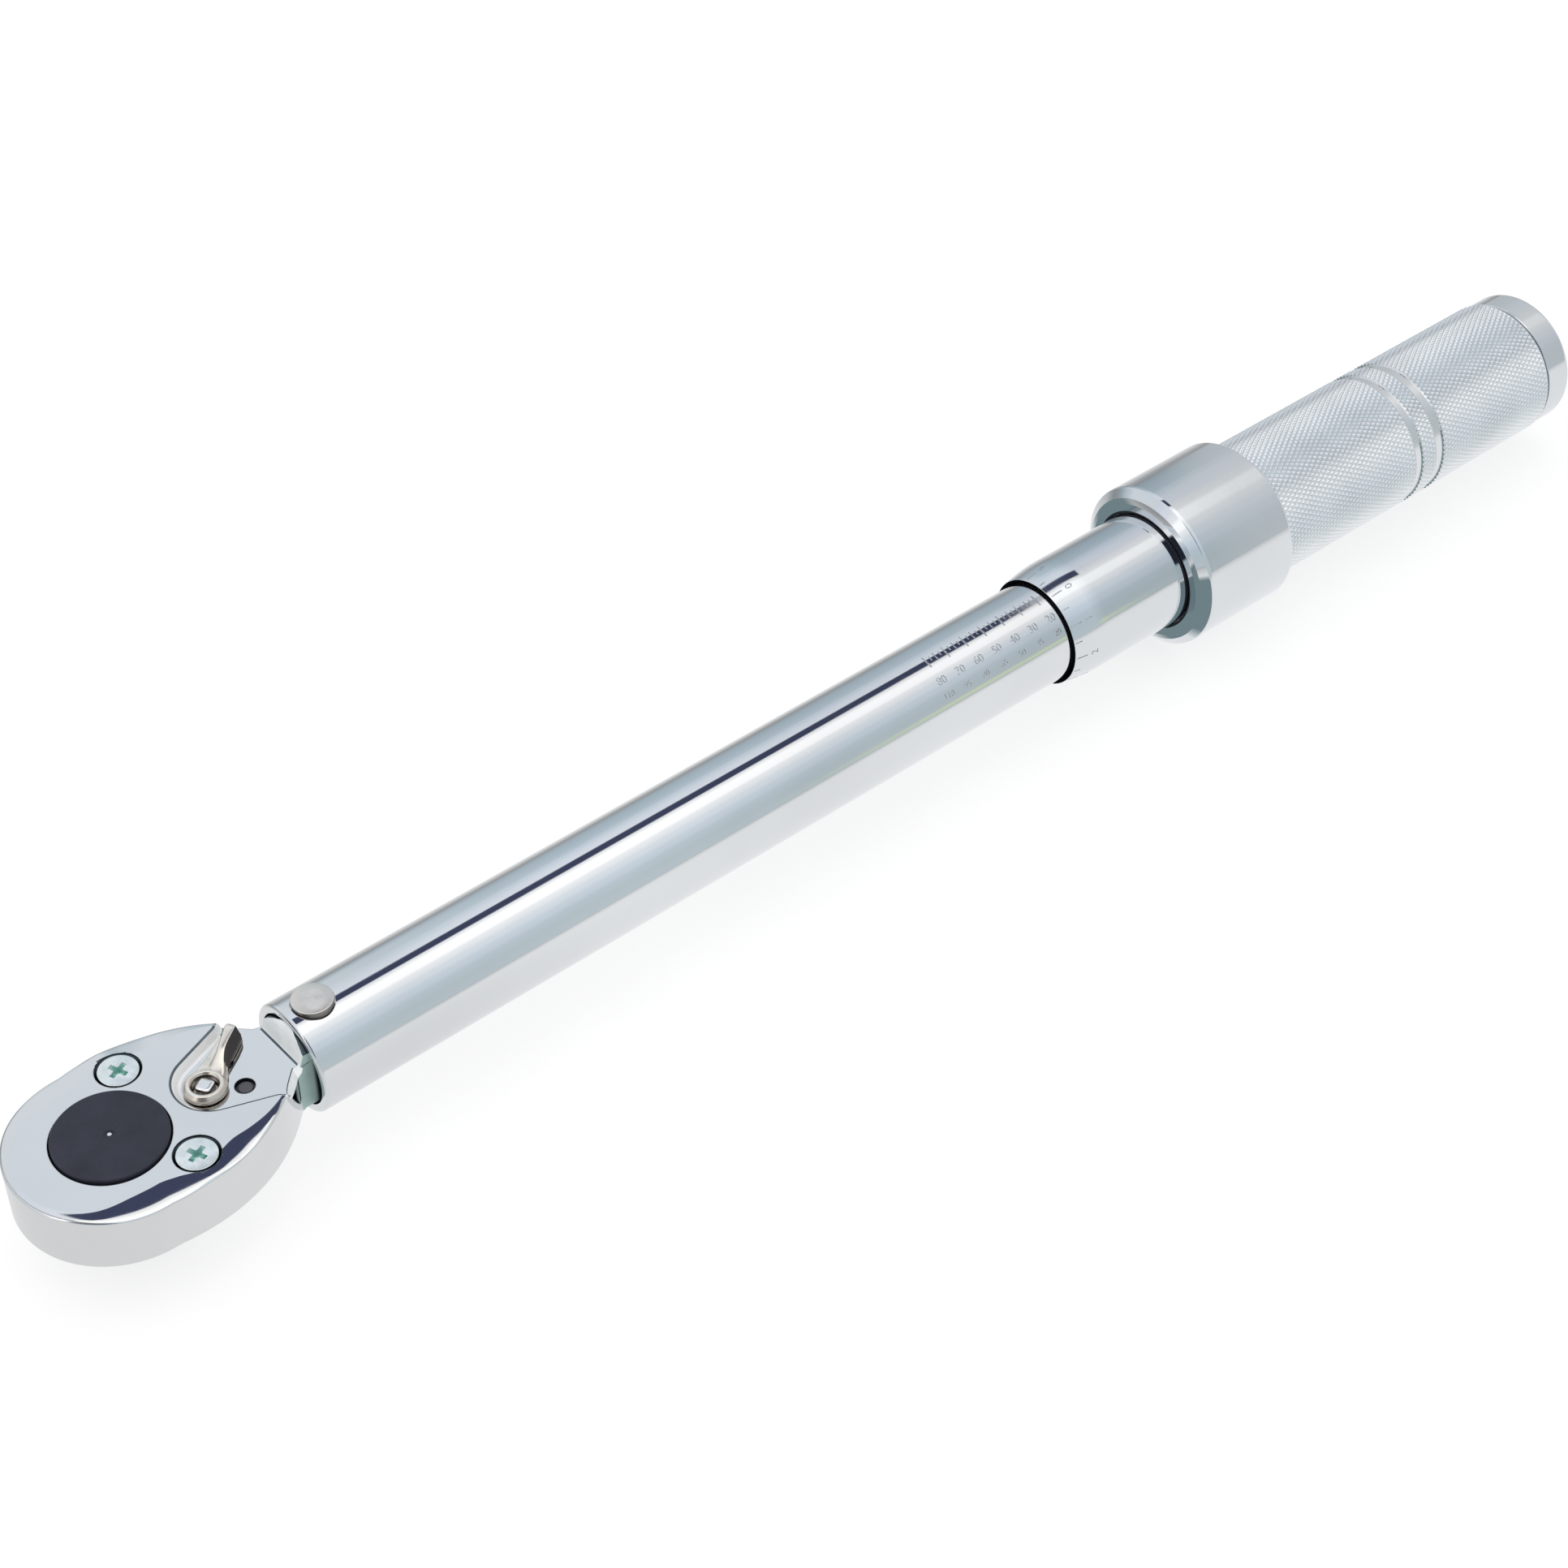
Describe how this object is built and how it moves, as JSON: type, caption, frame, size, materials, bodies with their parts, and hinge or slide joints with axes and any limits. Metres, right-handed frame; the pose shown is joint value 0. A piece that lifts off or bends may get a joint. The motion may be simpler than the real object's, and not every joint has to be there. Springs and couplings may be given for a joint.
{
  "type": "torque wrench",
  "caption": "Micrometer click torque wrench: ratchet head on a round tube, graduated sleeve, lock collar and knurled grip.",
  "frame": {"origin": "middle of the drive square's end face, on the drive axis", "axes": "+X along the tube to the grip's end, +Z out of the head on the reversing lever's side, the drive square points down -Z"},
  "size_m": [0.3987, 0.0392, 0.0368],
  "materials": {
    "polished_chrome": "mirror polished chrome plate",
    "knurled_chrome": "satin chrome over a diamond knurl",
    "warm_nickel": "tumbled nickel plate",
    "black_oxide": "black oxide on hardened steel",
    "zinc_plate": "bright zinc plate",
    "turned_steel": "turned steel, lightly oiled",
    "spring_steel": "blued spring steel",
    "bearing_steel": "polished bearing steel"
  },
  "bodies": {
    "housing": {"outer_tube": "polished_chrome", "pivot_pin": "turned_steel", "adjusting_nut": "turned_steel", "nut_pin_upper": "turned_steel", "nut_pin_lower": "turned_steel", "main_spring": "spring_steel"},
    "head": {"ratchet_head": "polished_chrome", "cover_plate": "polished_chrome", "cover_screw_left": "zinc_plate", "cover_screw_right": "zinc_plate"},
    "reverser": {"reversing_lever": "warm_nickel", "lever_shaft": "turned_steel", "lever_detent_ball": "bearing_steel", "lever_detent_spring": "spring_steel", "pawl_plunger": "turned_steel", "pawl_spring": "spring_steel"},
    "rocker": {"pawl": "turned_steel"},
    "drive": {"drive_gear": "black_oxide", "socket_ball_spring": "spring_steel"},
    "retainer": {"socket_ball": "bearing_steel"},
    "trip_plunger": {"plunger": "turned_steel"},
    "trip_rocker": {"trip_block": "turned_steel"},
    "spring_carrier": {"spring_seat": "turned_steel", "thrust_ball": "bearing_steel"},
    "handle": {"adjusting_screw": "turned_steel", "grip_washer": "zinc_plate", "grip_nut": "zinc_plate", "graduated_sleeve": "polished_chrome", "grip": "knurled_chrome", "grip_set_screw_left": "turned_steel", "grip_set_screw_right": "turned_steel", "end_cap": "polished_chrome", "collar_stop_ring": "spring_steel"},
    "collar": {"lock_collar": "polished_chrome"},
    "upper_lock": {"lock_ball_upper": "bearing_steel"},
    "lower_lock": {"lock_ball_lower": "bearing_steel"}
  },
  "joints": [
    {"name": "head_trip", "type": "hinge", "parent": "housing", "child": "head", "pos_m": [0.043, 0, 0.017], "axis": [0, 0, 1], "range_deg": [0, 3], "stiffness_Nm_per_rad": 60, "deforming": ["main_spring"]},
    {"name": "lever_swing", "type": "hinge", "parent": "head", "child": "reverser", "pos_m": [0.0194, 0, 0.017], "axis": [0, 0, 1], "range_deg": [-62.8, 0]},
    {"name": "pawl_rock", "type": "hinge", "parent": "head", "child": "rocker", "pos_m": [0.0194, 0, 0.017], "axis": [0, 0, 1], "range_deg": [0, 8]},
    {"name": "drive_turn", "type": "hinge", "parent": "head", "child": "drive", "pos_m": [0, 0, 0.017], "axis": [0, 0, 1], "continuous": true},
    {"name": "ball_press", "type": "slide", "parent": "drive", "child": "retainer", "axis": [0, 1, 0], "range_m": [0, 0.0005], "deforming": ["socket_ball_spring"]},
    {"name": "plunger_slide", "type": "slide", "parent": "housing", "child": "trip_plunger", "axis": [1, 0, 0], "range_m": [0, 0.0019]},
    {"name": "trip_rock", "type": "hinge", "parent": "trip_plunger", "child": "trip_rocker", "pos_m": [0.0963, 0.003, 0.017], "axis": [0, 0, 1], "range_deg": [-17.5, 0]},
    {"name": "screw_feed", "type": "slide", "parent": "housing", "child": "spring_carrier", "axis": [-1, 0, 0], "range_m": [0, 0.0331], "deforming": ["main_spring"]},
    {"name": "grip_turn", "type": "hinge", "parent": "spring_carrier", "child": "handle", "pos_m": [0.2785, 0, 0.017], "axis": [-1, 0, 0], "range_deg": [0, 4680]},
    {"name": "collar_slide", "type": "slide", "parent": "handle", "child": "collar", "axis": [1, 0, 0], "range_m": [0, 0.005]},
    {"name": "upper_ball_slide", "type": "slide", "parent": "handle", "child": "upper_lock", "axis": [0, 0, -1], "range_m": [0, 0.00125]},
    {"name": "lower_ball_slide", "type": "slide", "parent": "handle", "child": "lower_lock", "axis": [0, 0, 1], "range_m": [0, 0.00125]}
  ],
  "couplings": [
    {"joint": "pawl_rock", "follows": "lever_swing", "ratio": -0.1273},
    {"joint": "plunger_slide", "follows": "head_trip", "m_per_rad": 0.0344},
    {"joint": "trip_rock", "follows": "head_trip", "ratio": -5.75},
    {"joint": "screw_feed", "follows": "grip_turn", "m_per_rad": 0.00040425},
    {"joint": "upper_ball_slide", "follows": "collar_slide", "ratio": 0.24},
    {"joint": "lower_ball_slide", "follows": "collar_slide", "ratio": 0.24}
  ]
}
